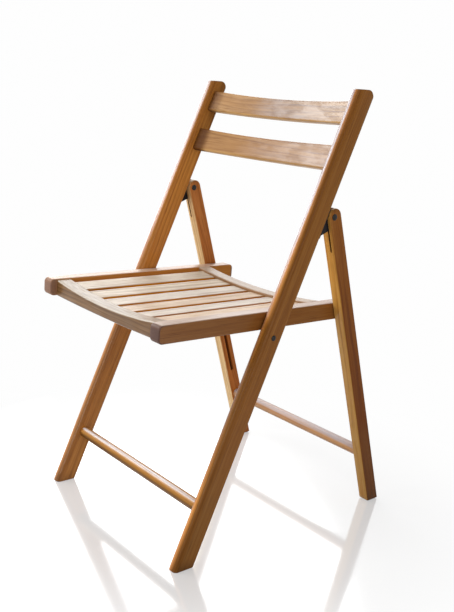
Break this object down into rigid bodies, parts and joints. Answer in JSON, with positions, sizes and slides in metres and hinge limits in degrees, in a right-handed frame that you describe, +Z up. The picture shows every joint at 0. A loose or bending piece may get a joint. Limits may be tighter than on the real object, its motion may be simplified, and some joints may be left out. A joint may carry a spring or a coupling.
{
  "type": "folding chair",
  "caption": "Varnished wooden folding chair with a dished slatted seat, bowed back slats and round stretchers; the rear legs swing flat against the posts as the seat tips up.",
  "frame": {"origin": "on the floor, at the middle of the open chair's width and depth", "axes": "+Z up, -Y the way the sitter faces, +X the sitter's left"},
  "size_m": [0.4244, 0.5496, 0.8],
  "materials": {
    "wood": "gloss varnish",
    "pale_wood": "gloss varnish",
    "black_steel": "satin black",
    "bright_steel": "plain"
  },
  "bodies": {
    "front_frame": {"post_left": "wood", "post_right": "wood", "back_slat_upper": "pale_wood", "back_slat_lower": "pale_wood", "front_stretcher": "wood", "hinge_bracket_left": "black_steel", "hinge_bracket_right": "black_steel", "seat_pivot_left": "black_steel", "seat_pivot_right": "black_steel"},
    "rear_frame": {"rear_leg_left": "pale_wood", "rear_leg_right": "pale_wood", "rear_stretcher": "wood", "hinge_rivet_left": "black_steel", "hinge_rivet_right": "black_steel"},
    "seat": {"seat_rail_left": "wood", "seat_rail_right": "wood", "seat_front_rail": "wood", "seat_rear_rail": "wood", "seat_slat_1": "pale_wood", "seat_slat_2": "pale_wood", "seat_slat_3": "pale_wood", "seat_slat_4": "pale_wood", "seat_slat_5": "pale_wood", "seat_slat_6": "pale_wood", "seat_pivot_plate_left": "black_steel", "seat_pivot_plate_right": "black_steel"},
    "guide_pins": {"guide_pin_left": "bright_steel", "guide_pin_right": "bright_steel"}
  },
  "joints": [
    {"name": "leg_fold", "type": "hinge", "parent": "front_frame", "child": "rear_frame", "pos_m": [0, 0.06505, 0.58479], "axis": [-1, 0, 0], "range_deg": [0, 41]},
    {"name": "seat_fold", "type": "hinge", "parent": "front_frame", "child": "seat", "pos_m": [0, -0.05552, 0.38479], "axis": [-1, 0, 0], "range_deg": [0, 108.16]},
    {"name": "pin_slide", "type": "slide", "parent": "rear_frame", "child": "guide_pins", "axis": [0, 0.3123, -0.95], "range_m": [0, 0.22234]}
  ],
  "couplings": [
    {"joint": "seat_fold", "follows": "leg_fold", "ratio": 2.638},
    {"joint": "pin_slide", "follows": "leg_fold", "m_per_rad": 0.31071}
  ]
}
